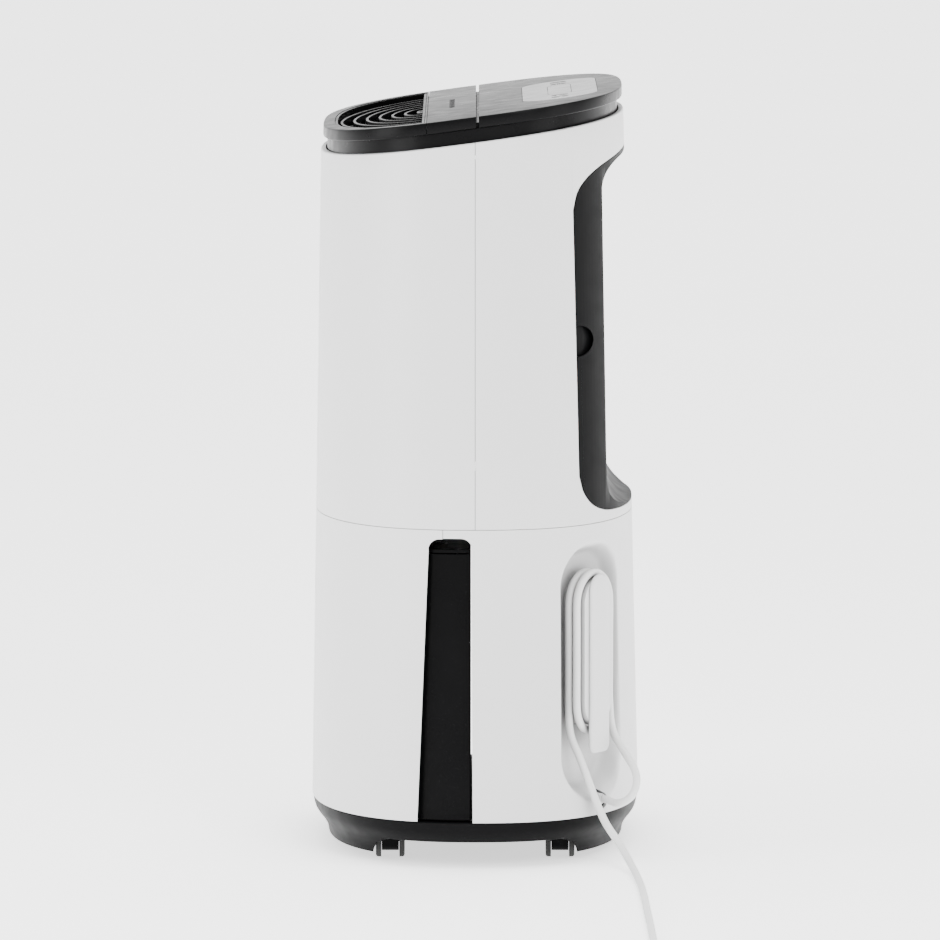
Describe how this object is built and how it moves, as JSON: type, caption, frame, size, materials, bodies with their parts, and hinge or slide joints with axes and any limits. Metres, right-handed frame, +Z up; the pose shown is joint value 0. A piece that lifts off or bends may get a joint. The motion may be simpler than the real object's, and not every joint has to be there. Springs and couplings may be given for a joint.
{
  "type": "dehumidifier",
  "caption": "Upright oval dehumidifier with a sloping dark deck, pull-out water tank, rear intake cover, casters and a mains cord wound on a corner hook.",
  "frame": {"origin": "middle of the footprint, on the floor", "axes": "+X along the width, to the side with the cord; -Y to the front, where the tank pulls out; +Z up"},
  "size_m": [0.9255, 0.2629, 0.596],
  "materials": {
    "casing_white": "fine satin",
    "black_plastic": "satin",
    "deck_black": "satin gloss",
    "panel_gloss": "gloss",
    "smoked_tank": "gloss",
    "cord_white": "satin",
    "rubber_black": "matt",
    "steel": "brushed",
    "copper": "drawn tube",
    "aluminium_fins": "finned",
    "circuit_board": "satin",
    "compressor_black": "satin paint",
    "inner_grey": "satin",
    "float_white": "foam"
  },
  "bodies": {
    "housing": {"front_shell": "casing_white", "rear_upper_shell": "casing_white", "rear_lower_shell": "casing_white", "tank_bay_roof": "casing_white", "cord_hook": "casing_white", "base_plinth": "black_plastic", "deck_collar": "black_plastic", "outlet_grille": "black_plastic", "terminal_cover": "black_plastic", "tank_full_switch": "black_plastic", "deck_frame": "deck_black", "control_panel": "panel_gloss", "display_window": "panel_gloss", "strain_relief": "cord_white", "cord_exit_loop": "cord_white", "cord_windings": "cord_white", "cord_lead": "cord_white", "cord_coil": "cord_white", "cord_tail": "cord_white", "plug": "cord_white", "compressor_mount_1": "rubber_black", "compressor_mount_2": "rubber_black", "compressor_mount_3": "rubber_black", "fan_motor": "steel", "run_capacitor": "steel", "discharge_pipe": "copper", "suction_pipe": "copper", "evaporator": "aluminium_fins", "condenser": "aluminium_fins", "control_board": "circuit_board", "compressor": "compressor_black", "bay_partition": "inner_grey", "handle_guide_right": "inner_grey", "handle_guide_left": "inner_grey", "drip_tray": "inner_grey", "fan_scroll": "inner_grey"},
    "handle": {"carry_handle": "deck_black"},
    "tank": {"tank_tub": "smoked_tank", "tank_fascia": "casing_white", "tank_lid": "smoked_tank"},
    "float": {"tank_float": "float_white"},
    "intake": {"intake_cover": "black_plastic", "filter_screen": "inner_grey", "finger_cup_right": "black_plastic", "finger_cup_left": "black_plastic"},
    "impeller": {"fan_impeller": "black_plastic"},
    "button_power_body": {"button_power": "deck_black"},
    "button_mode_body": {"button_mode": "deck_black"},
    "button_humidity_body": {"button_humidity": "deck_black"},
    "button_fan_body": {"button_fan": "deck_black"},
    "swivel_front_right": {"caster_body_front_right": "black_plastic"},
    "wheels_front_right": {"caster_wheels_front_right": "rubber_black"},
    "swivel_rear_right": {"caster_body_rear_right": "black_plastic"},
    "wheels_rear_right": {"caster_wheels_rear_right": "rubber_black"},
    "swivel_front_left": {"caster_body_front_left": "black_plastic"},
    "wheels_front_left": {"caster_wheels_front_left": "rubber_black"},
    "swivel_rear_left": {"caster_body_rear_left": "black_plastic"},
    "wheels_rear_left": {"caster_wheels_rear_left": "rubber_black"}
  },
  "joints": [
    {"name": "handle_lift", "type": "slide", "parent": "housing", "child": "handle", "axis": [0, 0, 1], "range_m": [0, 0.05]},
    {"name": "tank_pull", "type": "slide", "parent": "housing", "child": "tank", "axis": [0, -1, 0], "range_m": [0, 0.15]},
    {"name": "float_rise", "type": "hinge", "parent": "tank", "child": "float", "pos_m": [0.058, -0.06, 0.2362], "axis": [1, 0, 0], "range_deg": [0, 20]},
    {"name": "intake_pull", "type": "slide", "parent": "housing", "child": "intake", "axis": [0, 1, 0], "range_m": [0, 0.06]},
    {"name": "fan_spin", "type": "hinge", "parent": "housing", "child": "impeller", "pos_m": [0, -0.04, 0.4042], "axis": [0, 1, 0], "continuous": true},
    {"name": "press_power", "type": "slide", "parent": "housing", "child": "button_power_body", "axis": [0, 0.1328, -0.9911], "range_m": [0, 0.0012], "stiffness_N_per_m": 500},
    {"name": "press_mode", "type": "slide", "parent": "housing", "child": "button_mode_body", "axis": [0, 0.1328, -0.9911], "range_m": [0, 0.0012], "stiffness_N_per_m": 500},
    {"name": "press_humidity", "type": "slide", "parent": "housing", "child": "button_humidity_body", "axis": [0, 0.1328, -0.9911], "range_m": [0, 0.0012], "stiffness_N_per_m": 500},
    {"name": "press_fan", "type": "slide", "parent": "housing", "child": "button_fan_body", "axis": [0, 0.1328, -0.9911], "range_m": [0, 0.0012], "stiffness_N_per_m": 500},
    {"name": "swivel_front_right_turn", "type": "hinge", "parent": "housing", "child": "swivel_front_right", "pos_m": [0.118, -0.066, 0.0215], "axis": [0, 0, 1], "continuous": true},
    {"name": "wheels_front_right_roll", "type": "hinge", "parent": "swivel_front_right", "child": "wheels_front_right", "pos_m": [0.124, -0.066, 0.014], "axis": [0, 1, 0], "continuous": true},
    {"name": "swivel_rear_right_turn", "type": "hinge", "parent": "housing", "child": "swivel_rear_right", "pos_m": [0.118, 0.066, 0.0215], "axis": [0, 0, 1], "continuous": true},
    {"name": "wheels_rear_right_roll", "type": "hinge", "parent": "swivel_rear_right", "child": "wheels_rear_right", "pos_m": [0.124, 0.066, 0.014], "axis": [0, 1, 0], "continuous": true},
    {"name": "swivel_front_left_turn", "type": "hinge", "parent": "housing", "child": "swivel_front_left", "pos_m": [-0.118, -0.066, 0.0215], "axis": [0, 0, 1], "continuous": true},
    {"name": "wheels_front_left_roll", "type": "hinge", "parent": "swivel_front_left", "child": "wheels_front_left", "pos_m": [-0.124, -0.066, 0.014], "axis": [0, 1, 0], "continuous": true},
    {"name": "swivel_rear_left_turn", "type": "hinge", "parent": "housing", "child": "swivel_rear_left", "pos_m": [-0.118, 0.066, 0.0215], "axis": [0, 0, 1], "continuous": true},
    {"name": "wheels_rear_left_roll", "type": "hinge", "parent": "swivel_rear_left", "child": "wheels_rear_left", "pos_m": [-0.124, 0.066, 0.014], "axis": [0, 1, 0], "continuous": true}
  ]
}
